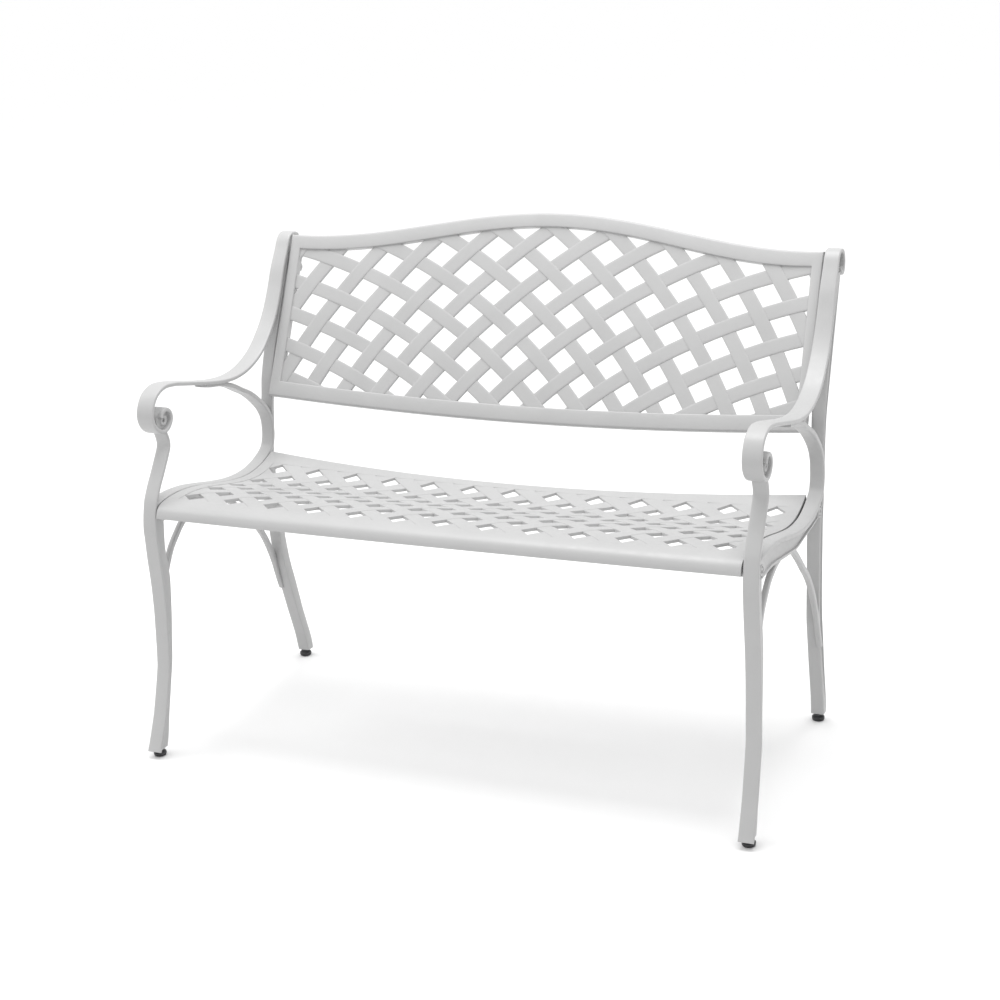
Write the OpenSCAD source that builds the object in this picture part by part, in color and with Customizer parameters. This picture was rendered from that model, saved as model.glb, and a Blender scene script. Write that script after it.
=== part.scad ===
// Two-seat cast garden bench: two end frames, a seat panel and a back panel
// bolted together, on four screw-in levelling feet. Millimetres, +Z up, +Y to
// the rear, origin on the floor at the middle of the bench's box.

/* [Bench] */
// Width over the two armrests
bench_w = 1030; // [840:5:1300]
// Width of the armrest strap
arm_w = 30; // [27:1:40]
// Width of the strap at the top of the rear posts
strap_top_w = 25; // [22:1:27]
// Width of the front legs and of the loops under the arms
limb_w = 24; // [22:1:26]
// Width of the webs that stiffen the front legs and seat rails
web_w = 16; // [12:1:18]
// Width of the rear posts
post_w = 22; // [18:1:23]
// Thickness of the loop under each arm
loop_t = 7.5; // [6:0.5:9]
// Width of the braces under the seat
brace_w = 9; // [7:1:14]
// Thickness of those braces
brace_t = 10; // [7:0.5:11]
// Thickness of the armrest strap
strap_t = 6.5; // [5:0.5:7.5]
// Inward lean of the rear legs, in degrees
rear_lean = 2; // [0:0.5:2.5]
// Depth of the recess in the outside of a rear leg
recess_d = 3; // [2:0.5:5]
// Rim left around a recess
recess_rim = 5; // [4:0.5:6]

/* [Back panel] */
// Lean of the back from the vertical, in degrees
back_tilt = 23.9; // [23.9:0.1:23.9]
// Plan radius of the curved back
back_r = 2955; // [2700:10:3500]
// Depth of the panel's rails, front to rear
back_rail_t = 14; // [12:0.5:16]
// Width of the side rails
back_side_w = 19; // [15:1:24]
// Height of the top rail
back_top_h = 25; // [18:1:32]
// Height of the bottom rail
back_bottom_h = 28; // [20:1:34]
// Rise of the arched top over its shoulders
back_rise = 63; // [40:1:75]
// Height of the shoulders, measured up the slope of the back
back_shoulder = 845; // [800:5:860]
// Height of the bottom edge at mid width, measured up the slope
back_foot = 539; // [530:1:555]

/* [Lattice] */
// Width of a woven strip
strip_w = 24.5; // [18:0.5:28]
// Thickness of the lattice
lattice_t = 8; // [5:0.5:10]
// Height step between rows of openings in the back
back_row = 39; // [36:0.1:42]
// Angle step between columns of openings in the back, in degrees
back_step = 2.26; // [2.1:0.02:2.5]
// Distance between columns of openings in the seat
seat_col = 37.2; // [34:0.1:39]
// Distance between rows of openings in the seat
seat_row = 34.1; // [31:0.1:35]

/* [Seat panel] */
// Thickness of the seat casting
seat_t = 7; // [5:0.5:9]
// Gap between the seat or back and an end frame
end_gap = 2.5; // [1:0.5:4]
// Forward bow of the seat's rear edge at mid width
seat_bow = 28; // [10:1:32]
// Depth of the flanges under the seat's ends
flange_h = 24; // [20:1:30]
// Thickness of those flanges
flange_t = 6; // [5:0.5:8]

/* [Fasteners] */
// Bolt diameter
bolt_d = 8; // [6:1:8]
// Bolt head diameter
head_d = 13; // [11:0.5:14]
// Bolt head height
head_h = 7; // [5:0.5:8]
// Washer diameter
washer_d = 15; // [14:0.5:16]
// Washer thickness
washer_t = 1.6; // [1:0.2:2]
// Lock washer thickness
lock_t = 2; // [1.5:0.1:2.5]
// Radial clearance round a bolt
bolt_clear = 0.3; // [0.1:0.1:0.6]

/* [Feet] */
// Diameter of a foot pad
pad_d = 21; // [18:1:24]
// Height of the toes above the floor with the feet screwed in
toe_z = 13; // [11:0.5:16]
// Stud diameter
stud_d = 8; // [6:1:8]
// Length of the threaded insert in each toe
insert_h = 20; // [14:1:20]
// Outside diameter of that insert
insert_d = 12; // [11:0.5:13]
// Radial running clearance of the stud in its insert
stud_clear = 0.06; // [0.04:0.01:0.1]
// Radial clearance of a threaded insert in its hole
insert_clear = 0.05; // [0.03:0.01:0.1]
// Gap between a foot pad and its toe when fully screwed in
pad_gap = 0.3; // [0.2:0.1:0.6]

/* [Hidden] */
SIDES = ["left", "right"];
ENDS = ["front", "rear"];
LEVELS = ["lower", "upper"];

CASTING = "whitesmoke";
STEEL = "silver";
PLASTIC = "#202020";
CURVE_STEPS = 4;       // straight pieces between two points of a drawn curve
FINE = 720;            // sides that OpenSCAD draws on the wide plan arc
ROUND = 48;

frame_x = (bench_w - arm_w) / 2;       // mid-plane of an end frame
inner_x = frame_x - limb_w / 2;        // its inner face
panel_half = inner_x - end_gap;        // half the length of the seat and of the back

// ---- curves in the side view: [y, z] with y from the front feet ----------------
function unit(v) = v / norm(v);
function blend(a, b, c, d, t) =
    0.5 * (2 * b + (c - a) * t + (2 * a - 5 * b + 4 * c - d) * t * t + (3 * b - a - 3 * c + d) * t * t * t);
function curve(p, n = CURVE_STEPS) = [
    for (i = [0 : len(p) - 2], k = [0 : n - 1])
        blend(p[max(i - 1, 0)], p[i], p[i + 1], p[min(i + 2, len(p) - 1)], k / n),
    p[len(p) - 1]
];
function reverse(p) = [for (i = [len(p) - 1 : -1 : 0]) p[i]];
function tangent(p, i) = unit(p[min(i + 1, len(p) - 1)] - p[max(i - 1, 0)]);
function left_of(p, d) = [for (i = [0 : len(p) - 1]) let (t = tangent(p, i)) p[i] + d * [-t[1], t[0]]];
function inset(a, b, rim) = [for (i = [0 : len(a) - 1]) a[i] + unit(b[i] - a[i]) * min(rim, 0.4 * norm(b[i] - a[i]))];
function part_of(p, first, last) = [for (i = [first : last]) p[i]];

module band(a, b) { polygon(concat(curve(a), reverse(curve(b)))); }
module band_recess(a, b, rim) { band(inset(a, b, rim), inset(b, a, rim)); }
// a side-view shape made w wide along X, centred on x = 0
module slab(w) { rotate([90, 0, 90]) translate([0, 0, -w / 2]) linear_extrude(w) children(); }

// Outer face of the strap, from the eye of the top scroll, down the post, along the
// arm and round the front scroll to its eye
strap_path = [
    [520, 762], [524, 752.5], [534, 748], [545, 754.5], [550, 770], [545, 785],
    [533, 791], [518, 790], [507, 782], [496, 763], [478, 732], [463, 698], [442, 660], [417, 630],
    [383, 602], [340, 584], [297, 577.5], [254, 579.5], [208, 587], [170, 595], [132, 603], [102, 609],
    [72, 611], [47, 603], [33, 588], [27, 570], [31, 553], [43, 540], [60, 533], [77, 537], [88, 551],
    [85, 566], [72, 574], [59, 571], [53, 562]
];
// Front face of the front leg, top to toe
leg_front = [
    [66, 532], [72, 519], [73, 508], [66, 495], [50, 470], [39, 454], [28.5, 436], [24, 425], [19.5, 405],
    [17, 383], [18.5, 366], [21.5, 330], [26, 294], [28.5, 260], [29.5, 224], [28, 157], [25, 135],
    [14.5, 96], [5.5, 66], [-5, 41], [-14, 21], [-18.5, 14], [-25, 4]
];
leg_web_from = 8;              // the point of that list where the leg's web begins
// Rear edge of the front leg's web
leg_rear = [
    [50, 405], [49, 384], [48, 345], [53, 315], [56, 290], [55, 260], [53, 230], [49, 190], [45, 153],
    [38, 123], [32, 97], [24, 64], [18, 32], [12, 14], [7, 4]
];
// Inner edge of the arm loop: under the arm, down the post, forward along the seat rail
loop_path = [
    [200, 583], [215, 577], [250, 570], [285, 558], [315, 543.5], [347, 528], [378, 506], [398, 487],
    [408, 468], [410, 450], [409, 438], [404, 424], [392, 414.5], [379, 408.5], [365, 403.5],
    [342, 398.5], [320, 396.5], [302, 396.5], [284, 397.5], [256, 401], [213, 409], [170, 418],
    [135, 424.5], [101, 428], [74, 428.5], [50, 427], [34, 425], [26, 424]
];
loop_rail_from = 11;           // the point of that list where the seat rail begins
// Lower edge of the seat rail's web, rear to front
rail_low = [
    [412, 388], [384, 380], [351, 377], [302, 374], [255, 371], [210, 376], [151, 384], [110, 389],
    [75, 389], [40, 388]
];
// Front and rear edges of the rear post, top to below the seat rail
post_front = [
    [503, 754], [480, 700], [457, 648], [438, 597], [427, 566], [419, 541], [414, 515], [409, 495],
    [405, 460], [401, 420], [398, 395], [397, 375]
];
post_rear = [
    [525, 756], [500, 700], [477, 648], [454.6, 597], [441, 566], [430, 541], [424, 515], [421, 495],
    [418, 465], [413.5, 425], [412, 395], [412, 375]
];
post_web_to = 3;               // down to this point the post and strap are joined by a web
// Front and rear edges of the rear leg, which leans inwards
rear_front = [
    [398, 410], [397, 370], [396, 331], [402, 290], [407, 240], [412, 200], [424, 161], [434, 130],
    [444, 100], [454, 72], [463, 45], [467, 28], [470, 14], [473, 0]
];
rear_rear = [
    [413, 410], [413, 370], [417, 331], [421, 290], [427, 240], [435, 200], [447, 161], [456, 130],
    [464.5, 100], [474.5, 70], [484, 42], [488, 26], [490, 14], [492, 0]
];
lean_z = 405;                  // height at which that lean begins
// Inner edges of the two braces that arch under the seat
front_brace = [
    [54, 284], [60, 298], [66, 310], [72, 320], [81, 333], [96, 347], [112, 360], [130, 369], [159, 377],
    [203, 380], [232, 381]
];
rear_brace = [
    [222, 382], [253, 363], [283, 341], [311, 318], [336, 298], [356, 278], [375, 254], [392, 225],
    [403, 200], [410, 182]
];

front_foot_y = 0;
rear_foot_y = 478;
foot_rise_x = (lean_z - toe_z) * sin(rear_lean);
function foot_x(e) = e == "front" ? frame_x : frame_x - foot_rise_x;
function foot_y(e) = e == "front" ? front_foot_y : rear_foot_y;
function side_sign(s) = s == "left" ? -1 : 1;

// ---- back panel: flat drawing [x, s], s up the slope ----------------------------
back_y0 = 209.3;               // where the panel's front plane meets the floor
back_fan = 450;                // the lattice fans out from this far below the floor line
back_top_row = 885;            // height of its top row of openings at mid width
back_rows = 8;                 // row steps from there to the bottom row
back_cols = ceil(panel_half / 40);     // columns on each side of the middle
fan_drop = 0.00047;            // how far a row falls away to the sides, per square millimetre
lattice_inset = 3;             // how far the lattice lies behind the front of the rails
fan_close = 0.0005;            // how much the columns close up to the sides
function arch(x, half, low, rise) = low + rise * (1 + cos(180 * x / half)) / 2;
function bowed(x, low) = low + 11 * pow(x / panel_half, 2);
function span(half, n = 24) = [for (i = [0 : n]) -half + 2 * half * i / n];
function outline(half, low_h, top, rise) = concat(
    [for (x = span(half)) [x, bowed(x, back_foot + low_h)]],
    [for (x = reverse(span(half))) [x, arch(x, half, top, rise)]]
);
function back_top_y() = back_y0 + (back_shoulder + back_rise) * sin(back_tilt) + back_rail_t * cos(back_tilt);
toe_front_y = -19;             // the front of a front toe
origin_y = (back_top_y() + toe_front_y) / 2;

// an opening is a rhombus left between four strips
function opening_scale(a, b) = 1 - strip_w * norm([a, b]) / (2 * a * b);
function back_point(u, v) = let (x = (u - fan_close * u * u * u) * back_step * PI / 180 * (v + back_fan))
    [x, v - fan_drop * x * x];
function back_opening(i, j) = let (
    v = back_top_row - i * back_row,
    f = opening_scale(back_step * PI / 180 * (v + back_fan), back_row)
) [for (c = [[f, 0], [0, f], [-f, 0], [0, -f]]) back_point(j + c[0], v + c[1] * back_row)];
function seat_opening(i, j) = let (
    f = opening_scale(seat_col, seat_row),
    x = j * seat_col,
    y = seat_first_y + i * seat_row + seat_row_bow * pow(x / panel_half, 2)
) [for (c = [[f, 0], [0, f], [-f, 0], [0, -f]]) [x + c[0] * seat_col, y + c[1] * seat_row]];

module in_back_plane() { translate([0, back_y0, 0]) rotate([90 - back_tilt, 0, 0]) children(); }
// everything between two depths behind the curved front of the back
module back_shell(front, rear) {
    translate([0, 0, back_r]) rotate([-90, 0, 0]) difference() {
        cylinder(r = back_r + rear, h = back_shoulder + back_rise + 50, $fn = FINE);
        translate([0, 0, -1]) cylinder(r = back_r + front, h = back_shoulder + back_rise + 60, $fn = FINE);
    }
}
back_slab_low = -back_rail_t - 5;
back_slab_high = back_r - sqrt(back_r * back_r - panel_half * panel_half) + 10;
module back_layer(front, rear) {
    intersection() {
        translate([0, 0, back_slab_low]) linear_extrude(back_slab_high - back_slab_low) children();
        back_shell(front, rear);
    }
}

// ---- bolt places -----------------------------------------------------------------
function seat_bolt_y(e) = e == "front" ? 37 : 384;
function seat_bolt_z(e) = e == "front" ? 406 : 394;
back_bolt_s = [600, 790];
function back_bolt_at(l) = l == "lower" ? back_bolt_s[0] : back_bolt_s[1];
bolt_depth = head_h + 2;               // counterbore depth in the end frame
boss_r = washer_d / 2 + 3;             // solid pad round a bolt in the seat rail
lug_t = 7.7;                           // thickness of the lugs behind the back
lug_h = 24;
back_bolt_x = panel_half - 10.5;       // distance of the back bolts from mid width
back_insert_h = 11;
back_insert_d = 12;
nut_h = 6.5;
nut_af = 13;

module at_seat_bolt(s, e) {
    translate([side_sign(s) * inner_x, seat_bolt_y(e), seat_bolt_z(e)]) rotate([0, side_sign(s) * 90, 0]) children();
}
// z = 0 on the panel's front face and -back_rail_t on its rear face
module at_back_bolt(s, l) {
    in_back_plane() translate([0, back_bolt_at(l), back_r])
        rotate([0, -side_sign(s) * asin(back_bolt_x / back_r), 0]) translate([0, 0, -back_r]) children();
}
module at_foot(s, e) { translate([side_sign(s) * foot_x(e), foot_y(e), 0]) children(); }

// ---- end frame, drawn on the right-hand side ---------------------------------------
module ribbon(path, t, n = 3) { polygon(concat(curve(path, n), reverse(left_of(curve(path, n), t)))); }
module leg_web_2d() {
    polygon(concat(curve(part_of(left_of(leg_front, 1), leg_web_from, len(leg_front) - 1), 3), reverse(curve(leg_rear, 3))));
}
module rail_web_2d() {
    polygon(concat(curve(part_of(left_of(loop_path, 1), loop_rail_from, len(loop_path) - 1), 3), reverse(curve(rail_low, 3))));
}
module post_web_2d() {
    polygon(concat(
        curve(part_of(left_of(strap_path, strap_t - 1), post_web_strap[0], post_web_strap[1]), 3),
        reverse(curve(part_of(post_rear, 0, post_web_to), 3))
    ));
}
post_web_strap = [8, 13];     // the run of the strap that the post's web joins
module rear_leg() {
    translate([0, 0, lean_z]) rotate([0, rear_lean, 0]) translate([0, 0, -lean_z]) difference() {
        slab(limb_w - 2) band(rear_front, rear_rear);
        translate([(limb_w - 2) / 2 - recess_d + 50, 0, 0]) slab(100)
            band_recess(part_of(rear_front, 3, 9), part_of(rear_rear, 3, 9), recess_rim);
    }
}
module strap() {
    top_z = 785;
    arm_z = 600;
    intersection() {
        slab(arm_w) ribbon(strap_path, strap_t);
        rotate([90, 0, 0]) translate([0, 0, -600]) linear_extrude(700) polygon([
            [-arm_w / 2 - 1, 400], [arm_w / 2 + 1, 400], [arm_w / 2, arm_z], [strap_top_w / 2, top_z],
            [strap_top_w / 2, top_z + 60], [-strap_top_w / 2, top_z + 60], [-strap_top_w / 2, top_z], [-arm_w / 2, arm_z]
        ]);
    }
}
module frame_blank() {
    strap();
    slab(limb_w) ribbon(leg_front, strap_t);
    slab(limb_w) ribbon(loop_path, loop_t);
    slab(web_w) leg_web_2d();
    slab(web_w) rail_web_2d();
    slab(post_w - 4) post_web_2d();
    slab(post_w) band(post_front, post_rear);
    slab(brace_w) ribbon(front_brace, brace_t);
    slab(brace_w) ribbon(rear_brace, brace_t);
    rear_leg();
    for (e = ENDS) translate([0, seat_bolt_y(e), seat_bolt_z(e)]) rotate([0, 90, 0])
        cylinder(r = boss_r, h = limb_w, center = true, $fn = ROUND);
}
module back_lug(l) {
    at_back_bolt("right", l)
        translate([-lug_h / 2 + 2, -lug_h / 2, -back_rail_t - lug_t]) cube([lug_h / 2 + 16, lug_h, lug_t]);
}
module end_frame(s) {
    color(CASTING) mirror([s == "left" ? 1 : 0, 0, 0]) translate([0, -origin_y, 0]) difference() {
        union() {
            translate([frame_x, 0, 0]) frame_blank();
            for (l = LEVELS) back_lug(l);
        }
        for (e = ENDS) at_seat_bolt("right", e) {
            translate([0, 0, -20]) cylinder(d = bolt_d + 2 * bolt_clear, h = 80, $fn = ROUND);
            translate([0, 0, limb_w - bolt_depth]) cylinder(d = washer_d + 1, h = 40, $fn = ROUND);
        }
        translate([frame_x - 100, -100, toe_z - 60]) cube([200, 700, 60]);
        for (l = LEVELS) at_back_bolt("right", l) translate([0, 0, -back_rail_t - lug_t - 5])
            cylinder(d = bolt_d + 2 * bolt_clear, h = lug_t + 10, $fn = ROUND);
        for (e = ENDS) at_foot("right", e) {
            translate([0, 0, toe_z - 1]) cylinder(d = insert_d + 2 * insert_clear, h = insert_h + 1, $fn = ROUND);
            translate([0, 0, toe_z]) cylinder(d = stud_d + 2 * bolt_clear, h = insert_h + 4, $fn = ROUND);
        }
    }
}

// ---- back panel --------------------------------------------------------------------
module back_outer_2d() { polygon(outline(panel_half, 0, back_shoulder, back_rise)); }
module back_inner_2d(grow = 0) {
    polygon(outline(panel_half - back_side_w + grow, back_bottom_h - grow, back_shoulder - back_top_h + grow, back_rise));
}
module back_openings_2d() {
    for (i = [0 : back_rows], j = [-back_cols : back_cols])
        if ((i + j) % 2 != 0) polygon(back_opening(i, j));
}
module back_panel() {
    color(CASTING) translate([0, -origin_y, 0]) difference() {
        in_back_plane() union() {
            back_layer(0, back_rail_t) difference() {
                back_outer_2d();
                back_inner_2d();
            }
            back_layer(lattice_inset, lattice_inset + lattice_t) difference() {
                back_inner_2d(3);
                intersection() {
                    back_inner_2d();
                    back_openings_2d();
                }
            }
        }
        for (s = SIDES, l = LEVELS) at_back_bolt(s, l)
            translate([0, 0, -back_rail_t - 1])
                cylinder(d = back_insert_d + 2 * insert_clear, h = back_insert_h + 1, $fn = ROUND);
    }
}

// ---- seat panel ----------------------------------------------------------------------
seat_first_y = 64;                     // first row of openings at mid width
seat_row_bow = 12;                     // how far the rows lie further back at the ends
seat_rows = 8;                         // row steps from there to the last row
seat_end_margin = 30;                  // solid width past the last column of openings
seat_cols = floor((panel_half - seat_end_margin) / seat_col);
seat_profile = [
    [18, 402], [19, 412], [25, 421], [50, 425.5], [74, 427.5], [101, 427.5], [135, 424], [170, 418],
    [213, 409], [256, 401], [284, 397.5], [302, 396.5], [320, 396.5], [342, 399], [365, 404], [379, 409],
    [397, 416], [402, 418.3]
];
seat_rear_y = 397;
seat_bow_r = (panel_half * panel_half + seat_bow * seat_bow) / (2 * seat_bow);
module seat_section_2d(thick) {
    polygon(concat(curve(seat_profile, 3), reverse(left_of(curve(seat_profile, 3), -thick))));
}
module seat_openings_2d() {
    for (i = [0 : seat_rows], j = [-seat_cols : seat_cols])
        if ((i + j) % 2 == 0) polygon(seat_opening(i, j));
}
// removes what lies behind the bowed rear edge
module behind_bow(edge) {
    translate([0, edge - seat_bow + seat_bow_r, 300]) cylinder(r = seat_bow_r, h = 250, $fn = FINE);
}
module seat_panel() {
    color(CASTING) translate([0, -origin_y, 0]) difference() {
        union() {
            slab(2 * panel_half) seat_section_2d(seat_t);
            for (s = SIDES) translate([side_sign(s) * (panel_half - flange_t / 2), 0, 0]) slab(flange_t) seat_section_2d(flange_h);
            for (s = SIDES, e = ENDS) at_seat_bolt(s, e)
                translate([0, 0, -end_gap - flange_t]) cylinder(r = boss_r - 1, h = end_gap + flange_t, $fn = ROUND);
        }
        translate([0, 0, 300]) linear_extrude(250) seat_openings_2d();
        behind_bow(seat_rear_y);
        for (s = SIDES, e = ENDS) at_seat_bolt(s, e)
            translate([0, 0, -end_gap - flange_t - 20]) cylinder(d = bolt_d + 2 * bolt_clear, h = 60, $fn = ROUND);
    }
}

// ---- fasteners -----------------------------------------------------------------------
bolt_seat = limb_w - bolt_depth;               // where the washer rests in the end frame
lug_seat = -end_gap - flange_t;                // inner face of the seat's flange boss
module ring(d_out, d_in, h) {
    difference() {
        cylinder(d = d_out, h = h, $fn = ROUND);
        translate([0, 0, -1]) cylinder(d = d_in, h = h + 2, $fn = ROUND);
    }
}
// socket-head bolt: shank along -Z from the underside of its head at z = 0
module bolt(length) {
    color(STEEL) difference() {
        union() {
            cylinder(d = head_d, h = head_h, $fn = ROUND);
            translate([0, 0, -length]) cylinder(d = bolt_d, h = length + 1, $fn = ROUND);
        }
        translate([0, 0, head_h / 2]) cylinder(d = 6.9, h = head_h, $fn = 6);
    }
}
module washer() { color(STEEL) ring(washer_d, bolt_d + 2 * bolt_clear, washer_t); }
module lock_washer() {
    color(STEEL) difference() {
        ring(bolt_d + 5.5, bolt_d + 2 * bolt_clear, lock_t);
        translate([bolt_d / 2 - 1, -0.6, -1]) cube([6, 1.2, lock_t + 2]);
    }
}
module nut() {
    color(STEEL) difference() {
        cylinder(d = nut_af / cos(30), h = nut_h, $fn = 6);
        translate([0, 0, -1]) cylinder(d = bolt_d + 0.1, h = nut_h + 2, $fn = ROUND);
    }
}
module seat_fastener(p, s, e) {
    translate([0, -origin_y, 0]) at_seat_bolt(s, e) {
        if (p == "bolt") translate([0, 0, bolt_seat + washer_t])
            bolt(bolt_seat + washer_t - lug_seat + lock_t + nut_h + 2);
        if (p == "washer") translate([0, 0, bolt_seat]) washer();
        if (p == "lock_washer") translate([0, 0, lug_seat - lock_t]) lock_washer();
        if (p == "nut") translate([0, 0, lug_seat - lock_t - nut_h]) nut();
    }
}
module back_fastener(p, s, l) {
    rear = -back_rail_t - lug_t;
    translate([0, -origin_y, 0]) at_back_bolt(s, l) {
        if (p == "bolt") translate([0, 0, rear - washer_t - lock_t]) mirror([0, 0, 1]) bolt(washer_t + lock_t + lug_t + back_insert_h - 2);
        if (p == "washer") translate([0, 0, rear - washer_t]) washer();
        if (p == "lock_washer") translate([0, 0, rear - washer_t - lock_t]) lock_washer();
        if (p == "insert") color(STEEL) translate([0, 0, -back_rail_t]) ring(back_insert_d, bolt_d + 0.1, back_insert_h - 0.5);
    }
}

// ---- feet ------------------------------------------------------------------------------
pad_h = 8;                             // height of the round pad
collar_d = 15;                         // the collar above it
module foot_part(p, s, e) {
    translate([0, -origin_y, 0]) at_foot(s, e) {
        if (p == "pad") color(PLASTIC) difference() {
            union() {
                rotate_extrude($fn = ROUND) polygon([
                    [0, 0], [pad_d / 2 - 3, 0], [pad_d / 2 - 0.8, 1.2], [pad_d / 2, 3.2], [pad_d / 2, pad_h - 1.5],
                    [pad_d / 2 - 1.5, pad_h], [0, pad_h]
                ]);
                cylinder(d = collar_d, h = toe_z - pad_gap, $fn = ROUND);
            }
            translate([0, 0, 4]) cylinder(d = stud_d, h = toe_z, $fn = ROUND);
        }
        if (p == "stud") color(STEEL) translate([0, 0, 4]) cylinder(d = stud_d, h = toe_z - 4 + insert_h + 2, $fn = ROUND);
        if (p == "insert") color(STEEL) translate([0, 0, toe_z]) ring(insert_d, stud_d + 2 * stud_clear, insert_h);
    }
}

end_frame("left");  // left_end_frame
end_frame("right");  // right_end_frame
back_panel();
seat_panel();
for (s = SIDES, e = ENDS, p = ["bolt", "washer", "lock_washer", "nut"])
    seat_fastener(p, s, e);
for (s = SIDES, l = LEVELS, p = ["bolt", "washer", "lock_washer", "insert"])
    back_fastener(p, s, l);
for (s = SIDES, e = ENDS, p = ["pad", "stud", "insert"])
    foot_part(p, s, e);
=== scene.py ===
"""Looks for the white cast garden bench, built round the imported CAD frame.

Lengths in this file are millimetres until a point is placed. Side-view curves are
[y, z] with y measured back from the front feet.
"""
import math

import bmesh
import bpy
from mathutils import Matrix, Vector


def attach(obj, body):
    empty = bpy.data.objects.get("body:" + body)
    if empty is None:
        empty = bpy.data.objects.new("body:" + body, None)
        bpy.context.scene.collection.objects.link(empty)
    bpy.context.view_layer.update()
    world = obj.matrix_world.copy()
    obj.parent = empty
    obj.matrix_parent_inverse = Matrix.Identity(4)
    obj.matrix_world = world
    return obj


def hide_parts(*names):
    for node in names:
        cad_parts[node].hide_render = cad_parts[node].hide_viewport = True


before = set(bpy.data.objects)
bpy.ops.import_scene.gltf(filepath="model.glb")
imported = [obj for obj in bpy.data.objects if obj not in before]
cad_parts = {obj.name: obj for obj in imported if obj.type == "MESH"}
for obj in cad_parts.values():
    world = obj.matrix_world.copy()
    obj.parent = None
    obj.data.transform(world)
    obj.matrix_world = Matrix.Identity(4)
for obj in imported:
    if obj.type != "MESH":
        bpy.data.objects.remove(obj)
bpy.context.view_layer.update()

MM = 0.001
SIDES = ("left", "right")

# ---- sizes shared with part.scad ------------------------------------------------
BENCH_W = 1030
ARM_W = 30
STRAP_TOP_W = 25
LIMB_W = 24
WEB_W = 16
POST_W = 22
LOOP_T = 7.5
BRACE_W = 9
BRACE_T = 10
STRAP_T = 6.5
REAR_LEAN = 2
LEAN_Z = 405
TOE_Z = 13
END_GAP = 2.5
FRAME_X = (BENCH_W - ARM_W) / 2
INNER_X = FRAME_X - LIMB_W / 2
PANEL_HALF = INNER_X - END_GAP

BACK_TILT = math.radians(23.9)
BACK_Y0 = 209.3
BACK_R = 2955
BACK_RAIL_T = 14
BACK_SIDE_W = 19
BACK_TOP_H = 25
BACK_BOTTOM_H = 28
BACK_RISE = 63
BACK_SHOULDER = 845
BACK_FOOT = 539
BACK_FAN = 450
BACK_TOP_ROW = 885
BACK_ROW = 39
BACK_STEP = math.radians(2.26)
FAN_DROP = 0.00047
FAN_CLOSE = 0.0005
LATTICE_INSET = 3
STRIP_W = 24.5
BACK_ROWS = 9
BACK_COLS = 12
BACK_STRIP_T = 5.6
BACK_WEAVE = 0.55           # how far a strip rises or sinks where it crosses another

SEAT_COL = 37.2
SEAT_ROW = 34.1
SEAT_FIRST_Y = 64
SEAT_ROWS = 8
SEAT_COLS = 12
SEAT_ROW_BOW = 12
SEAT_BOW = 28
SEAT_REAR_Y = 397
SEAT_T = 7
SEAT_STRIP_W = 25.0
SEAT_STRIP_T = 5.4
SEAT_WEAVE = 0.4
STRIP_DEPTH = 3.4           # mid-surface of the strips behind the face of their panel
NOSE_END = 47.0             # where the rolled front edge of the seat turns into the plate
FLANGE_H = 24
FLANGE_T = 6

BACK_TOP_Y = BACK_Y0 + (BACK_SHOULDER + BACK_RISE) * math.sin(BACK_TILT) + BACK_RAIL_T * math.cos(BACK_TILT)
ORIGIN_Y = (BACK_TOP_Y - 19) / 2


def place(x, y, z):
    """A point in bench millimetres, as metres in the shared frame."""
    return Vector((x * MM, (y - ORIGIN_Y) * MM, z * MM))


# ---- curves ---------------------------------------------------------------------
def curve(points, n=8):
    """A smooth curve through the points, n steps between two of them."""
    pts = [Vector(p) for p in points]
    last = len(pts) - 1
    out = []
    for i in range(last):
        a, b, c, d = pts[max(i - 1, 0)], pts[i], pts[i + 1], pts[min(i + 2, last)]
        for k in range(n):
            t = k / n
            out.append(0.5 * (2 * b + (c - a) * t + (2 * a - 5 * b + 4 * c - d) * t * t
                              + (3 * b - a - 3 * c + d) * t ** 3))
    return out + [pts[-1]]


def left_of(path, d):
    """The curve moved d to the left of its direction of travel."""
    out = []
    for i, p in enumerate(path):
        t = (path[min(i + 1, len(path) - 1)] - path[max(i - 1, 0)]).normalized()
        out.append(p + d * Vector((-t.y, t.x)))
    return out


def even(path, count):
    """count points at equal distances along the path."""
    dist = [0.0]
    for a, b in zip(path, path[1:]):
        dist.append(dist[-1] + (b - a).length)
    out, j = [], 0
    for i in range(count):
        want = dist[-1] * i / (count - 1)
        while j < len(path) - 2 and dist[j + 1] < want:
            j += 1
        span = dist[j + 1] - dist[j] or 1.0
        out.append(path[j].lerp(path[j + 1], min(1.0, (want - dist[j]) / span)))
    return out


# ---- meshes ---------------------------------------------------------------------
class Shape:
    """Points in millimetres and faces, gathered before they become one mesh."""

    def __init__(self):
        self.points, self.faces = [], []

    def loft(self, rings, closed=False):
        """Skins a list of closed rings of equal length; open ends are capped."""
        start, n = len(self.points), len(rings[0])
        for ring in rings:
            self.points.extend(ring)
        count = len(rings)
        for i in range(count if closed else count - 1):
            a, b = start + i * n, start + (i + 1) % count * n
            for k in range(n):
                m = (k + 1) % n
                self.faces.append((a + k, a + m, b + m, b + k))
        if not closed:
            self.faces.append(tuple(start + k for k in reversed(range(n))))
            self.faces.append(tuple(start + (count - 1) * n + k for k in range(n)))


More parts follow.
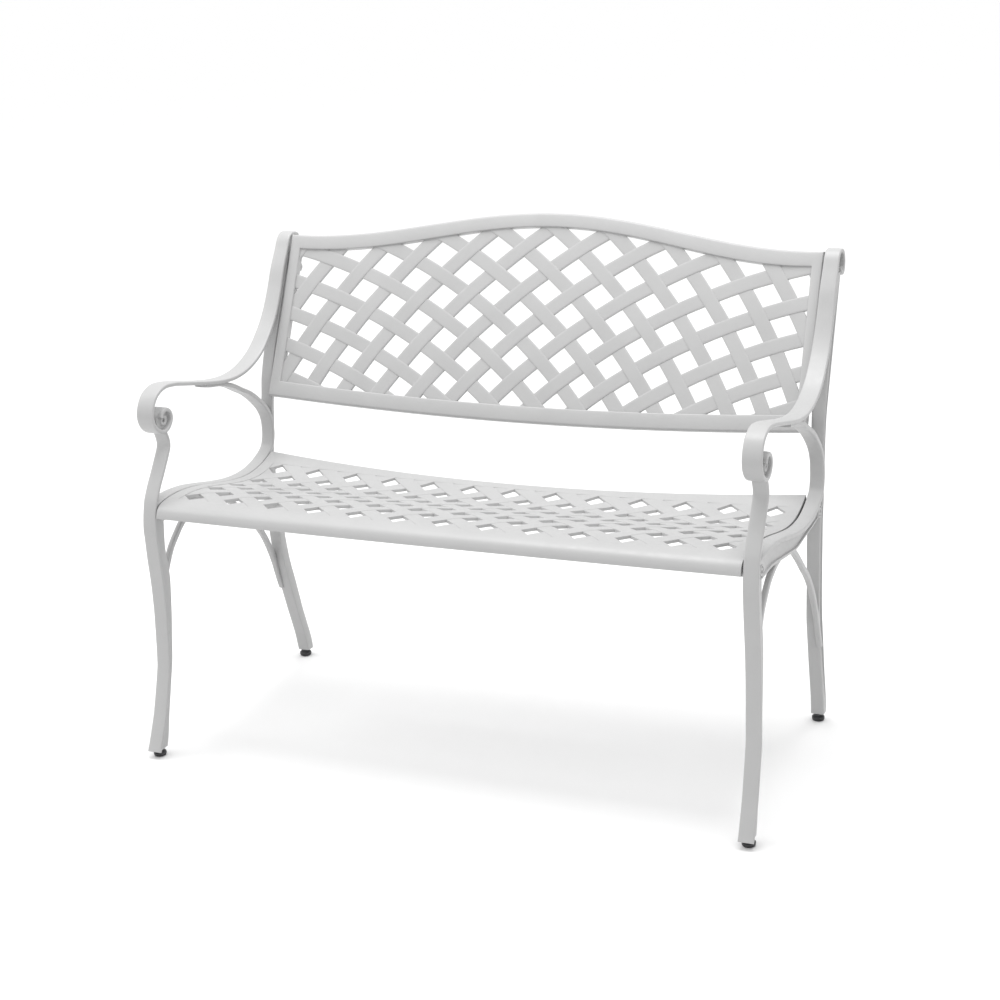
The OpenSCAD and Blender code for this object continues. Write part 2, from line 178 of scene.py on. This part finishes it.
def rounded(w, depth, r, steps=4, crown=0.0, groove=0.0):
    """A rounded rectangle: x across, n from 0 to depth. groove sinks the +x side's middle."""
    r = min(r, 0.48 * w, 0.48 * depth)
    pts = []
    corners = (
        (-w / 2 + r, r, 180), (w / 2 - r, r, 270), (w / 2 - r, depth - r, 0), (-w / 2 + r, depth - r, 90),
    )
    for cx, cn, a0 in corners:
        for k in range(steps + 1):
            a = math.radians(a0 + 90 * k / steps)
            pts.append([cx + r * math.cos(a), cn + r * math.sin(a)])
        if a0 == 180:
            for f in (0.25, 0.5, 0.75):
                pts.append([(-w / 2 + r) + f * (w - 2 * r), -crown * 4 * f * (1 - f)])
        if a0 == 270:
            lo, hi = r + 0.08 * depth, depth - r - 0.08 * depth
            for f, sink in ((0.0, 0.0), (0.05, 1.0), (0.5, 1.0), (0.95, 1.0), (1.0, 0.0)):
                pts.append([w / 2 - groove * sink, lo + f * (hi - lo)])
    return pts


def bar(shape, front, rear, width, r=2.0, crown=0.0, groove=None, lean=0.0, x0=0.0):
    """A cast bar whose front and rear edges are two curves of equal length in the side view."""
    rings = []
    last = len(front) - 1
    for i, (a, b) in enumerate(zip(front, rear)):
        f = i / last
        w = width(a, f) if callable(width) else width
        g = groove(a, f) if groove else 0.0
        d = (b - a).length
        n = (b - a) / d
        ring = []
        for x, q in rounded(w, d, r, crown=crown, groove=g):
            y, z = a.x + n.x * q, a.y + n.y * q
            if lean and z < LEAN_Z:
                x -= (LEAN_Z - z) * math.tan(math.radians(lean))
            ring.append((x0 + x, y, z))
        rings.append(ring)
    shape.loft(rings)


def ribbon(shape, path, thickness, width, **kw):
    bar(shape, path, left_of(path, thickness), width, **kw)


def finish_mesh(name, points, faces, material, angle=38):
    """Makes a mesh object from millimetre points and faces."""
    mesh = bpy.data.meshes.new(name)
    mesh.from_pydata([place(*p) for p in points], [], faces)
    mesh.materials.append(material)
    mesh.update()
    bm = bmesh.new()
    bm.from_mesh(mesh)
    bmesh.ops.recalc_face_normals(bm, faces=bm.faces)
    bm.to_mesh(mesh)
    bm.free()
    mesh.shade_smooth()
    mesh.set_sharp_from_angle(angle=math.radians(angle))
    obj = bpy.data.objects.new(name, mesh)
    bpy.context.scene.collection.objects.link(obj)
    return obj


# ---- materials --------------------------------------------------------------------
def new_material(name, color, rough, metallic=0.0):
    mat = bpy.data.materials.new(name)
    mat.use_nodes = True
    bsdf = mat.node_tree.nodes["Principled BSDF"]
    bsdf.inputs["Base Color"].default_value = (*color, 1)
    bsdf.inputs["Roughness"].default_value = rough
    bsdf.inputs["Metallic"].default_value = metallic
    return mat, mat.node_tree, bsdf


def noise(tree, coord, scale, detail=4.0, rough=0.55):
    node = tree.nodes.new("ShaderNodeTexNoise")
    node.inputs["Scale"].default_value = scale
    node.inputs["Detail"].default_value = detail
    node.inputs["Roughness"].default_value = rough
    tree.links.new(coord, node.inputs["Vector"])
    return node.outputs["Fac"]


def spread(tree, value, low, high):
    """Takes the middle of a noise to the range low to high."""
    node = tree.nodes.new("ShaderNodeMapRange")
    node.inputs["From Min"].default_value = 0.3
    node.inputs["From Max"].default_value = 0.7
    node.inputs["To Min"].default_value = low
    node.inputs["To Max"].default_value = high
    tree.links.new(value, node.inputs["Value"])
    return node.outputs["Result"]


def tint(tree, value, dark, light):
    ramp = tree.nodes.new("ShaderNodeValToRGB")
    ramp.color_ramp.elements[0].position = 0.3
    ramp.color_ramp.elements[1].position = 0.7
    ramp.color_ramp.elements[0].color = (*dark, 1)
    ramp.color_ramp.elements[1].color = (*light, 1)
    tree.links.new(value, ramp.inputs["Fac"])
    return ramp.outputs["Color"]


def bump(tree, height, distance, strength, normal=None):
    node = tree.nodes.new("ShaderNodeBump")
    node.inputs["Distance"].default_value = distance
    node.inputs["Strength"].default_value = strength
    tree.links.new(height, node.inputs["Height"])
    if normal:
        tree.links.new(normal, node.inputs["Normal"])
    return node.outputs["Normal"]


def object_coord(tree):
    return tree.nodes.new("ShaderNodeTexCoord").outputs["Object"]


def powder_coat():
    """White textured powder coat over a sand casting: orange peel on soft waviness."""
    mat, tree, bsdf = new_material("white_powder_coat", (0.385, 0.385, 0.385), 0.42)
    co = object_coord(tree)
    wave = noise(tree, co, 45, 2)
    peel = noise(tree, co, 900, 3, 0.6)
    grit = noise(tree, co, 2600, 2, 0.5)
    n = bump(tree, wave, 0.0012, 0.25)
    n = bump(tree, peel, 0.00025, 0.35, n)
    n = bump(tree, grit, 0.00010, 0.30, n)
    tree.links.new(n, bsdf.inputs["Normal"])
    tree.links.new(spread(tree, noise(tree, co, 120), 0.38, 0.50), bsdf.inputs["Roughness"])
    tree.links.new(tint(tree, noise(tree, co, 14, 6), (0.377, 0.377, 0.377), (0.397, 0.397, 0.397)),
                   bsdf.inputs["Base Color"])
    bsdf.inputs["Coat Weight"].default_value = 0.05
    bsdf.inputs["Coat Roughness"].default_value = 0.3
    return mat


def zinc_steel():
    mat, tree, bsdf = new_material("zinc_plated_steel", (0.62, 0.63, 0.65), 0.35, 1.0)
    co = object_coord(tree)
    tree.links.new(bump(tree, noise(tree, co, 1800, 3), 0.0001, 0.3), bsdf.inputs["Normal"])
    tree.links.new(spread(tree, noise(tree, co, 300), 0.28, 0.48), bsdf.inputs["Roughness"])
    tree.links.new(tint(tree, noise(tree, co, 90), (0.52, 0.53, 0.55), (0.68, 0.69, 0.71)), bsdf.inputs["Base Color"])
    return mat


def black_plastic():
    mat, tree, bsdf = new_material("black_moulded_plastic", (0.018, 0.018, 0.02), 0.45)
    co = object_coord(tree)
    tree.links.new(bump(tree, noise(tree, co, 1400, 4), 0.0002, 0.4), bsdf.inputs["Normal"])
    tree.links.new(spread(tree, noise(tree, co, 160), 0.38, 0.58), bsdf.inputs["Roughness"])
    tree.links.new(tint(tree, noise(tree, co, 60), (0.014, 0.014, 0.016), (0.026, 0.026, 0.028)),
                   bsdf.inputs["Base Color"])
    return mat


COAT = powder_coat()
ZINC = zinc_steel()
BLACK = black_plastic()

# ---- end frames ---------------------------------------------------------------------
STRAP = [
    (520, 762), (524, 752.5), (534, 748), (545, 754.5), (550, 770), (545, 785),
    (533, 791), (518, 790), (507, 782), (496, 763), (478, 732), (463, 698), (442, 660), (417, 630),
    (383, 602), (340, 584), (297, 577.5), (254, 579.5), (208, 587), (170, 595), (132, 603), (102, 609),
    (72, 611), (47, 603), (33, 588), (27, 570), (31, 553), (43, 540), (60, 533), (77, 537), (88, 551),
    (85, 566), (72, 574), (59, 571), (53, 562),
]
LEG_FRONT = [
    (66, 532), (72, 519), (73, 508), (66, 495), (50, 470), (39, 454), (28.5, 436), (24, 425), (19.5, 405),
    (17, 383), (18.5, 366), (21.5, 330), (26, 294), (28.5, 260), (29.5, 224), (28, 157), (25, 135),
    (14.5, 96), (5.5, 66), (-5, 41), (-14, 21), (-18.5, TOE_Z),
]
LEG_WEB_FROM = 8
LEG_REAR = [
    (50, 405), (49, 384), (48, 345), (53, 315), (56, 290), (55, 260), (53, 230), (49, 190), (45, 153),
    (38, 123), (32, 97), (24, 64), (18, 32), (12.5, TOE_Z),
]
LOOP = [
    (200, 577.5), (215, 574), (250, 568), (285, 557.5), (315, 543.5), (347, 528), (378, 506), (398, 487),
    (408, 468), (410, 450), (409, 438), (404, 424), (392, 414.5), (379, 408.5), (365, 403.5),
    (342, 398.5), (320, 396.5), (302, 396.5), (284, 397.5), (256, 401), (213, 409), (170, 418),
    (135, 424.5), (101, 428), (74, 428.5), (50, 427), (34, 425), (26, 424),
]
LOOP_RAIL_FROM = 11
RAIL_LOW = [
    (412, 388), (384, 380), (351, 377), (302, 374), (255, 371), (210, 376), (151, 384), (110, 389),
    (75, 389), (40, 388),
]
POST_FRONT = [
    (503, 754), (480, 700), (456.5, 648), (436, 597), (425, 566), (418, 541), (415, 515), (412, 495),
    (412, 470), (413, 450), (408, 425), (400, 395),
]
POST_REAR = [
    (525, 756), (500, 700), (477, 648), (454.6, 597), (441, 566), (431, 541), (425, 515), (422, 495),
    (420, 470), (418, 450), (414, 425), (413, 395),
]
TOP_WEB_REAR = [(522, 757), (500, 722), (484, 690), (464.5, 648)]
REAR_FRONT = [
    (397, 370), (396, 331), (402, 290), (407, 240), (412, 200), (424, 161), (434, 130),
    (444, 100), (454, 72), (463, 45), (467, 28), (470.5, TOE_Z),
]
REAR_REAR = [
    (413, 370), (417, 331), (421, 290), (427, 240), (435, 200), (447, 161), (456, 130),
    (464.5, 100), (474.5, 70), (484, 42), (488, 26), (490, TOE_Z),
]
FRONT_BRACE = [
    (54, 284), (60, 298), (66, 310), (72, 320), (81, 333), (96, 347), (112, 360), (130, 369), (159, 377),
    (203, 380), (232, 381),
]
REAR_BRACE = [
    (222, 382), (253, 363), (283, 341), (311, 318), (336, 298), (356, 278), (375, 254), (392, 225),
    (403, 202), (410, 184), (417, 166), (425, 148),
]


def strap_width(p, f):
    return ARM_W - (ARM_W - STRAP_TOP_W) * max(0.0, min(1.0, (p.y - 600) / 185))


def tapered(ends, middle):
    """A size that swells from ends at both tips to middle along the bar."""
    return lambda p, f: ends + (middle - ends) * min(1.0, 6 * f, 6 * (1 - f))


def paired(a, b, count):
    """Two curves cut into the same number of steps."""
    return even(curve(a), count), even(curve(b), count)


def end_frame_shape():
    s = Shape()
    ribbon(s, even(curve(STRAP), 300), STRAP_T, strap_width, r=2.1, crown=0.35)
    ribbon(s, even(curve(LEG_FRONT), 150), STRAP_T, LIMB_W, r=2.1, crown=0.3)
    front, rear = paired(left_of(curve(LEG_FRONT[LEG_WEB_FROM:]), 2), LEG_REAR, 110)
    bar(s, front, rear, WEB_W + 1, r=2.5)
    ribbon(s, even(curve(LOOP), 260), LOOP_T, LIMB_W - 0.5, r=2.1, crown=0.3)
    front, rear = paired(left_of(curve(LOOP[LOOP_RAIL_FROM:]), 2), RAIL_LOW, 110)
    bar(s, front, rear, WEB_W, r=2.5, groove=tapered(0.0, 2.8))
    front, rear = paired(POST_FRONT + REAR_FRONT, POST_REAR + REAR_REAR, 210)
    bar(s, front, rear, POST_W, r=2.5, groove=tapered(0.0, 2.6), lean=REAR_LEAN)
    front, rear = paired(left_of(curve(STRAP[8:13]), 2), TOP_WEB_REAR, 50)
    bar(s, front, rear, POST_W - 4, r=1.5)
    ribbon(s, even(curve(FRONT_BRACE), 60), BRACE_T, BRACE_W, r=2.4)
    ribbon(s, even(curve(REAR_BRACE), 60), BRACE_T, BRACE_W, r=2.4)
    return s


SEAT_BOLTS = {"front": (37, 406), "rear": (384, 394)}
BOSS_R = 10.5
RING_STEPS = 48


def turned(shape, profile, axis_point, across, up, along):
    """A ring-shaped surface: profile is (radius, distance along the axis) pairs, closed."""
    rings = []
    for k in range(RING_STEPS):
        a = 2 * math.pi * k / RING_STEPS
        d = across * math.cos(a) + up * math.sin(a)
        rings.append([tuple(axis_point + d * r + along * h) for r, h in profile])
    shape.loft(rings, closed=True)


def add_bosses(shape):
    """Round pads with a sunk bolt seat on the outside, and a plain face inside."""
    hole_r, sink_r, sink = 4.3, 8.0, 9.0
    for y, z in SEAT_BOLTS.values():
        h = LIMB_W
        profile = [(hole_r, 0), (BOSS_R, 0), (BOSS_R, h - 1.2), (BOSS_R - 0.4, h - 0.4), (BOSS_R - 1.2, h),
                   (sink_r + 0.6, h), (sink_r, h - 0.6), (sink_r, h - sink), (hole_r, h - sink)]
        turned(shape, profile, Vector((-LIMB_W / 2, y, z)), Vector((0, 1, 0)), Vector((0, 0, 1)), Vector((1, 0, 0)))


SCROLL_EYE = (67, 553.5)


def add_scroll_eye(shape):
    """The web that fills the front scroll, with a raised ring round a sunk eye."""
    half = [(0.05, 5), (3.2, 5.5), (3.6, 9.5), (5, 10.6), (7.6, 10.6), (8.8, 9.6), (9.4, 8), (17.5, 7.6), (19, 8.4)]
    profile = half + [(r, -h) for r, h in reversed(half)]
    turned(shape, profile, Vector((0, *SCROLL_EYE)), Vector((0, 1, 0)), Vector((0, 0, 1)), Vector((1, 0, 0)))


# ---- curved back --------------------------------------------------------------------
def on_back(x, s, depth):
    """A point of the back: s up its slope, depth behind its curved front."""
    n = math.sqrt((BACK_R + depth) ** 2 - x * x) - BACK_R
    return (x, BACK_Y0 + s * math.sin(BACK_TILT) + n * math.cos(BACK_TILT),
            s * math.cos(BACK_TILT) - n * math.sin(BACK_TILT))


def back_low(x, inset):
    return BACK_FOOT + inset + 11 * (x / PANEL_HALF) ** 2


def back_high(x, half, inset):
    return BACK_SHOULDER - inset + BACK_RISE * (1 + math.cos(math.pi * x / half)) / 2


def back_station(kind, f):
    """Outer and inner rim points of the back's frame at fraction f of one of its four sides."""
    half, inner = PANEL_HALF, PANEL_HALF - BACK_SIDE_W
    if kind == "bottom":
        x, xi = (2 * f - 1) * half, (2 * f - 1) * inner
        return (x, back_low(x, 0)), (xi, back_low(xi, BACK_BOTTOM_H))
    if kind == "top":
        x, xi = (1 - 2 * f) * half, (1 - 2 * f) * inner
        return (x, back_high(x, half, 0)), (xi, back_high(xi, inner, BACK_TOP_H))
    sign, g = (1, f) if kind == "right" else (-1, 1 - f)
    outer = back_low(half, 0) * (1 - g) + back_high(half, half, 0) * g
    inside = back_low(inner, BACK_BOTTOM_H) * (1 - g) + back_high(inner, inner, BACK_TOP_H) * g
    return (sign * half, outer), (sign * inner, inside)


def rail_section(w):
    """Across a rail from its outer to its inner edge: (distance, depth)."""
    ro, ri, rb = 4.5, 2.2, 2.0
    pts = [(ro - ro * math.cos(a), ro - ro * math.sin(a)) for a in [math.pi / 2 * k / 5 for k in range(6)]]
    pts += [(ro + (w - ro - ri) * f, -0.5 * 4 * f * (1 - f)) for f in (0.25, 0.5, 0.75)]
    pts += [(w - ri + ri * math.sin(a), ri - ri * math.cos(a)) for a in [math.pi / 2 * k / 4 for k in range(5)]]
    t = BACK_RAIL_T
    pts += [(w - rb + rb * math.cos(a), t - rb + rb * math.sin(a)) for a in [math.pi / 2 * k / 3 for k in range(4)]]
    pts += [(rb - rb * math.sin(a), t - rb + rb * math.cos(a)) for a in [math.pi / 2 * k / 3 for k in range(4)]]
    return pts


def back_frame_shape():
    s = Shape()
    rings = []
    for kind, steps in (("bottom", 90), ("right", 40), ("top", 110), ("left", 40)):
        for k in range(steps):
            (xo, so), (xi, si) = back_station(kind, k / steps)
            w = math.hypot(xi - xo, si - so)
            ring = []
            for u, d in rail_section(w):
                f = u / w
                ring.append(on_back(xo + (xi - xo) * f, so + (si - so) * f, d))
            rings.append(ring)
    s.loft(rings, closed=True)
    return s


def back_point(u, k):
    v = BACK_TOP_ROW - BACK_ROW * k
    x = (u - FAN_CLOSE * u ** 3) * BACK_STEP * (v + BACK_FAN)
    return Vector((x, v - FAN_DROP * x * x))


def in_back(p, grow=9.0):
    """Whether a flat point lies in the back's opening, grown to run under the rails."""
    half = PANEL_HALF - BACK_SIDE_W
    return (abs(p.x) < half + grow and p.y > back_low(p.x, BACK_BOTTOM_H) - grow
            and p.y < back_high(p.x, half, BACK_TOP_H) + grow)


def seat_point(u, k):
    x = u * SEAT_COL
    return Vector((x, SEAT_FIRST_Y + k * SEAT_ROW + SEAT_ROW_BOW * (x / PANEL_HALF) ** 2))


def in_seat(p, grow=3.0):
    lo = seat_point(p.x / SEAT_COL, -0.5).y
    hi = seat_point(p.x / SEAT_COL, SEAT_ROWS + 0.5).y
    return abs(p.x) < (SEAT_COLS + 0.5) * SEAT_COL + grow and lo - grow < p.y < hi + grow


def strip_section(w, t):
    """Across a strip: (offset, height over its mid-surface), top side first."""
    h, r, crown = w / 2, 0.8, 0.15
    top = [(-h, t / 2 - r), (-h + 0.3 * r, t / 2 - 0.3 * r), (-h + r, t / 2)]
    top += [(h * f, t / 2 + crown * (1 - f * f)) for f in (-0.7, -0.4, -0.15, 0.15, 0.4, 0.7)]
    top += [(h - r, t / 2), (h - 0.3 * r, t / 2 - 0.3 * r), (h, t / 2 - r)]
    low = [(h, 0.7 - t / 2), (h - 0.7, -t / 2)] + [(h * f, -t / 2) for f in (0.6, 0.2, -0.2, -0.6)]
    return top + low + [(0.7 - h, -t / 2), (-h, 0.7 - t / 2)]


def strip_run(centre, inside, offset, ks):
    """Where the line offset from a strip's middle enters and leaves the opening, or None."""
    hit = [k for k in ks if inside(centre(k, offset))]
    return (hit[0], hit[-1]) if len(hit) > 2 else None


def strips(shape, point, inside, solid, rows, cols, w, t, rise, odd=0, step=0.025):
    """Woven strips along both diagonals of a grid. point(u, k) is flat, solid(flat, height) in space."""
    section = strip_section(w, t)
    ks = [-2 + step * i for i in range(int((rows + 4) / step) + 1)]
    for lean in (1, -1):
        for c in range(-cols - rows - 2, cols + rows + 3):
            if (c + odd) % 2:
                continue

            def centre(k, offset):
                p, q = point(c + lean * (k - 0.05), k - 0.05), point(c + lean * (k + 0.05), k + 0.05)
                d = (q - p).normalized()
                return (p + q) / 2 + Vector((-d.y, d.x)) * offset

            runs = {e: strip_run(centre, inside, e, ks) for e, _ in section}
            good = [e for e in runs if runs[e]]
            if max(good, default=0) - min(good, default=0) < 3:
                continue
            count = max(6, int(max(runs[e][1] - runs[e][0] for e in good) / 0.1))
            rings = []
            for q in range(count + 1):
                ring = []
                for e, h in section:
                    e = e if runs[e] else min(good, key=lambda g: abs(g - e))
                    k = runs[e][0] + (runs[e][1] - runs[e][0]) * q / count
                    lift = lean * rise * math.cos(math.pi * (c + lean * k))
                    ring.append(solid(centre(k, e), h + lift))
                rings.append(ring)
            shape.loft(rings)


def back_strip_solid(p, h):
    return on_back(p.x, p.y, LATTICE_INSET + STRIP_DEPTH - h)


# ---- seat ---------------------------------------------------------------------------
SEAT_PROFILE = [
    (18, 402), (19, 409), (23, 416.5), (30.5, 421.8), (42, 425), (56, 427), (74, 427.8), (101, 427.5),
    (135, 424), (170, 418), (213, 409), (256, 401), (284, 397.5), (302, 396.5), (320, 396.5), (342, 399),
    (365, 404), (379, 409),
    (397, 416),
]
PROFILE = curve(SEAT_PROFILE, 12)


def seat_dish(x, y):
    """How far the seat sags below its ends' profile."""
    across = 1 - (x / PANEL_HALF) ** 2
    along = max(0.0, min(1.0, (y - 40) / 90))
    return 4.0 * across * along


def seat_front_bow(x, y):
    """How far the front edge bows forward."""
    return 5.0 * (1 - (x / PANEL_HALF) ** 2) * max(0.0, min(1.0, (70 - y) / 45))


def profile_at(y):
    """Height and slope direction of the end profile at y, behind its nose."""
    for a, b in zip(PROFILE, PROFILE[1:]):
        if a.x <= y <= b.x and a.x >= 25:
            f = (y - a.x) / ((b.x - a.x) or 1.0)
            return a.y + (b.y - a.y) * f, (b - a).normalized()
    a, b = PROFILE[-2], PROFILE[-1]
    return b.y + (y - b.x) * (b.y - a.y) / (b.x - a.x), (b - a).normalized()


def seat_strip_solid(p, h):
    z, d = profile_at(p.y)
    q = h - STRIP_DEPTH
    return (p.x, p.y - d.y * q, z - seat_dish(p.x, p.y) + d.x * q)


def seat_rear(x):
    return SEAT_REAR_Y - SEAT_BOW * (1 - (x / PANEL_HALF) ** 2)


def seat_plate_shape():
    """The solid margins round the seat's lattice, with rolled edges."""
    s = Shape()
    nose = [p for p in PROFILE if p.x <= NOSE_END]

    def skin(x, row):
        """Point and unit normal of the top skin; row is a profile point or a y."""
        if isinstance(row, Vector):
            i = PROFILE.index(row)
            d = (PROFILE[min(i + 1, len(PROFILE) - 1)] - PROFILE[max(i - 1, 0)]).normalized()
            y, z = row.x, row.y
        else:
            y = row
            z, d = profile_at(y)
        return Vector((x, y - seat_front_bow(x, y), z - seat_dish(x, y))), Vector((0, -d.y, d.x))

    def rows_at(x, part):
        lo = seat_point(x / SEAT_COL, -0.5).y
        hi = seat_point(x / SEAT_COL, SEAT_ROWS + 0.5).y
        if part == "front":
            return nose + [NOSE_END + (lo - NOSE_END) * i / 4 for i in range(1, 5)]
        if part == "rear":
            return [hi + (seat_rear(x) - hi) * i / 8 for i in range(9)]
        return nose + [NOSE_END + (seat_rear(x) - NOSE_END) * i / 60 for i in range(1, 61)]

    def band(xs, part):
        """A solid sheet over the columns xs, rolled over along its free edges."""
        rings = []
        for x in xs:
            top = [skin(x, r) for r in rows_at(x, part)]
            ring = []
            first, last = top[0], top[-1]
            ring.append(tuple(first[0] - first[1] * 1.6))
            ring.append(tuple(first[0] + (top[1][0] - first[0]) * 0.2 - first[1] * 0.4))
            for p, n in top[1:-1]:
                ring.append(tuple(p))
            ring.append(tuple(last[0] + (top[-2][0] - last[0]) * (0.12 if part != "front" else 0.0) - last[1] * 0.3))
            ring.append(tuple(last[0] - last[1] * 1.8))
            ring.append(tuple(last[0] - last[1] * (SEAT_T - 1.4)))
            ring.append(tuple(last[0] + (top[-2][0] - last[0]) * 0.15 - last[1] * SEAT_T))
            for p, n in reversed(top[1:-1]):
                ring.append(tuple(p - n * SEAT_T))
            ring.append(tuple(first[0] - first[1] * (SEAT_T - 1.0)))
            rings.append(ring)
        s.loft(rings)

    edge = (SEAT_COLS + 0.5) * SEAT_COL
    mid = [-edge + 2 * edge * i / 80 for i in range(81)]
    end = [edge + (PANEL_HALF - edge) * f for f in (0, 0.3, 0.6, 0.85, 0.95, 0.985, 1.0)]
    band(mid, "front")
    band(mid, "rear")
    band(end, "end")
    band([-x for x in reversed(end)], "end")
    return s


def add_seat_flanges(shape):
    """Stiffening flanges and bolt pads under the seat's ends."""
    t, h = FLANGE_T, FLANGE_H
    for sign in (-1, 1):
        path = even([p for p in curve(SEAT_PROFILE, 6) if p.x >= 25], 80)
        top, low = left_of(path, -3), left_of(path, -h)
        bar(shape, top, low, t, r=1.8, x0=sign * (PANEL_HALF - t / 2))
        for y, z in SEAT_BOLTS.values():
            reach = END_GAP + t
            profile = [(4.3, 0), (BOSS_R - 2, 0), (BOSS_R - 1, 1), (BOSS_R - 1, reach), (4.3, reach)]
            turned(shape, profile, Vector((sign * (INNER_X - reach), y, z)), Vector((0, 1, 0)), Vector((0, 0, 1)),
                   Vector((sign, 0, 0)))


BACK_BOLT_X = PANEL_HALF - 10.5
BACK_BOLT_S = (600, 790)
LUG_T = 7.7
LUG_OUTLINE = [
    (-3, -9), (-6.2, -7), (-8.2, -3.5), (-8.8, 0), (-8.2, 3.5), (-6.2, 7), (-3, 9), (17, 12), (17, -12),
]


def add_back_lugs(shape):
    """Lugs on the frame's inner face that the back is bolted to from behind."""
    phi = math.asin(BACK_BOLT_X / BACK_R)
    along = Vector((math.cos(phi), math.sin(phi) * -math.cos(BACK_TILT), math.sin(phi) * math.sin(BACK_TILT)))
    up = Vector((0, math.sin(BACK_TILT), math.cos(BACK_TILT)))
    back = up.cross(along) * -1
    if back.y < 0:
        back = -back
    for s0 in BACK_BOLT_S:
        centre = Vector(on_back(BACK_BOLT_X, s0, BACK_RAIL_T)) - Vector((FRAME_X, 0, 0))
        rings = []
        for depth, grow in ((0.05, 0.96), (0.8, 1.0), (LUG_T - 1, 1.0), (LUG_T, 0.95)):
            rings.append([tuple(centre + along * (a * (grow if a < 0 else 1)) + up * (b * grow) + back * depth)
                          for a, b in LUG_OUTLINE])
        shape.loft(rings)


# ---- assemble -----------------------------------------------------------------------
def casting(name, points, faces, replaced):
    """Makes a coated casting that takes the place of one CAD node."""
    obj = finish_mesh(name, points, faces, COAT)
    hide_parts(replaced)
    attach(obj, "bench")


frame_shape = end_frame_shape()
add_bosses(frame_shape)
add_scroll_eye(frame_shape)
add_back_lugs(frame_shape)
for side in SIDES:
    sign = 1 if side == "right" else -1
    points = [(sign * (FRAME_X + x), y, z) for x, y, z in frame_shape.points]
    casting("%s_frame_casting" % side, points, frame_shape.faces, "%s_end_frame" % side)

back_shape = back_frame_shape()
strips(back_shape, back_point, in_back, back_strip_solid, BACK_ROWS, BACK_COLS,
       STRIP_W, BACK_STRIP_T, BACK_WEAVE)
casting("back_casting", back_shape.points, back_shape.faces, "back_panel")

seat_shape = seat_plate_shape()
strips(seat_shape, seat_point, in_seat, seat_strip_solid, SEAT_ROWS, SEAT_COLS,
       SEAT_STRIP_W, SEAT_STRIP_T, SEAT_WEAVE, odd=1)
add_seat_flanges(seat_shape)
casting("seat_casting", seat_shape.points, seat_shape.faces, "seat_panel")


def soften(obj, width):
    mod = obj.modifiers.new("soft_edges", "BEVEL")
    mod.width = width
    mod.segments = 3
    mod.limit_method = "ANGLE"
    mod.angle_limit = math.radians(40)


for name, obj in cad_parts.items():
    if name.endswith("_frame") or name.endswith("_panel"):
        continue
    if name.startswith("foot_pad"):
        material = BLACK
    elif "_bolt_" in name:
        material = COAT
    else:
        material = ZINC
    obj.data.materials.clear()
    obj.data.materials.append(material)
    soften(obj, 0.0004)

# ---- floor, light and camera ----------------------------------------------------------
bpy.ops.mesh.primitive_plane_add(size=300, location=(0, 0, 0))
floor = bpy.context.object
floor.name = "floor"
floor_mat, floor_tree, floor_bsdf = new_material("pale_floor_painted_light", (0.84, 0.84, 0.84), 0.95)
# painted light and shade: the floor's colour runs from darker within 1.2 m of the bench, where the lamps fall
# brightest, to lighter beyond 5 m, where their light fades, so the floor renders evenly white
floor_span = floor_tree.nodes.new("ShaderNodeVectorMath")
floor_span.operation = "LENGTH"
floor_tree.links.new(object_coord(floor_tree), floor_span.inputs[0])
floor_painted_falloff = floor_tree.nodes.new("ShaderNodeMapRange")
floor_painted_falloff.inputs["From Min"].default_value = 1.2
floor_painted_falloff.inputs["From Max"].default_value = 5.0
floor_tree.links.new(floor_span.outputs["Value"], floor_painted_falloff.inputs["Value"])
floor_tree.links.new(tint(floor_tree, floor_painted_falloff.outputs["Result"], (0.84, 0.84, 0.84), (0.97, 0.97, 0.97)),
                     floor_bsdf.inputs["Base Color"])
floor.data.materials.append(floor_mat)

world = bpy.data.worlds.new("studio")
bpy.context.scene.world = world
world.use_nodes = True
world.node_tree.nodes["Background"].inputs["Color"].default_value = (1, 1, 1, 1)
world.node_tree.nodes["Background"].inputs["Strength"].default_value = 1.03


def softbox(name, location, target, size, power):
    data = bpy.data.lights.new(name, "AREA")
    data.shape = "RECTANGLE"
    data.size, data.size_y = size
    data.energy = power
    obj = bpy.data.objects.new(name, data)
    obj.location = location
    obj.rotation_euler = (Vector(target) - Vector(location)).to_track_quat("-Z", "Y").to_euler()
    bpy.context.scene.collection.objects.link(obj)


softbox("key", (-2.8, -0.6, 2.6), (0, 0, 0.4), (1.8, 1.8), 25)
softbox("top", (0.0, 0.1, 3.4), (0, 0.1, 0.4), (2.4, 1.8), 80)

# camera: where the view was taken from, worked out from the bench's own proportions
AZ, EL, ROLL = math.radians(23.194), math.radians(12.415), math.radians(-1.977)
back_dir = Vector((math.sin(AZ) * math.cos(EL), -math.cos(AZ) * math.cos(EL), math.sin(EL)))
right_dir = (-back_dir).cross(Vector((0, 0, 1))).normalized()
up_dir = right_dir.cross(-back_dir)
right_r = right_dir * math.cos(ROLL) + up_dir * math.sin(ROLL)
up_r = up_dir * math.cos(ROLL) - right_dir * math.sin(ROLL)
camera_data = bpy.data.cameras.new("camera")
camera_data.sensor_width = 36
camera_data.lens = 69.64
camera_data.shift_y = -0.1416
camera_data.clip_end = 60
camera = bpy.data.objects.new("camera", camera_data)
m = Matrix((right_r, up_r, back_dir)).transposed().to_4x4()
m.translation = place(1209.9, -2511.2, 1306.0)
camera.matrix_world = m
bpy.context.scene.collection.objects.link(camera)
bpy.context.scene.camera = camera
bpy.context.scene.view_settings.view_transform = "Standard"

bpy.context.view_layer.update()
